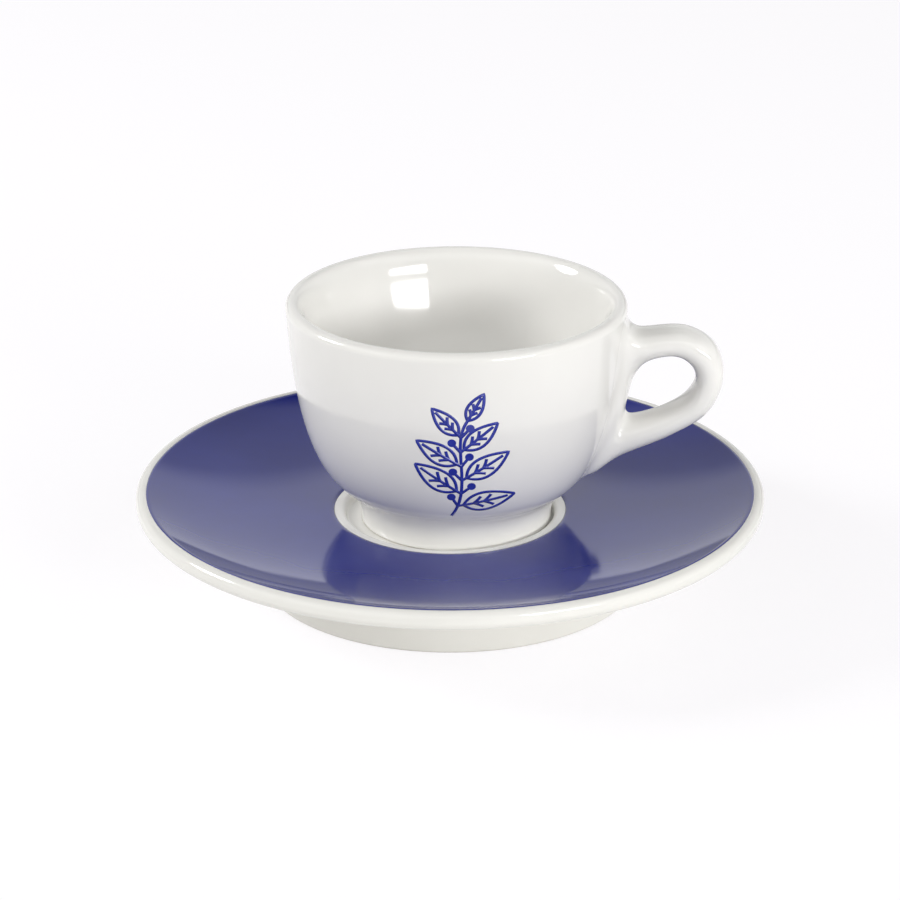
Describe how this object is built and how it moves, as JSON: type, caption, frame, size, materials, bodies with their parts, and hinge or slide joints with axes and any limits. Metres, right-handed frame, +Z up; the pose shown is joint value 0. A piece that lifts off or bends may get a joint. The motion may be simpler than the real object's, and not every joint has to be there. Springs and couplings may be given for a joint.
{
  "type": "espresso cup and saucer",
  "caption": "Rounded porcelain espresso cup with a small loop handle, standing in the well of a broad saucer whose face is coated in coloured glaze; the cup lifts off.",
  "frame": {"origin": "middle of the saucer's foot ring, on the table that it stands on", "axes": "+Z up, +X along the side where the cup's handle points, +Y away from the viewer"},
  "size_m": [0.12, 0.12, 0.0563],
  "materials": {
    "porcelain": "warm white gloss glaze",
    "blue_glaze": "royal blue gloss glaze"
  },
  "bodies": {
    "saucer": {"saucer": "porcelain", "saucer_colour_band": "blue_glaze"},
    "cup": {"cup_bowl": "porcelain", "cup_handle": "porcelain"}
  },
  "joints": [
    {"name": "cup_lift", "type": "slide", "parent": "saucer", "child": "cup", "axis": [0, 0, 1], "range_m": [0, 0.06]}
  ]
}
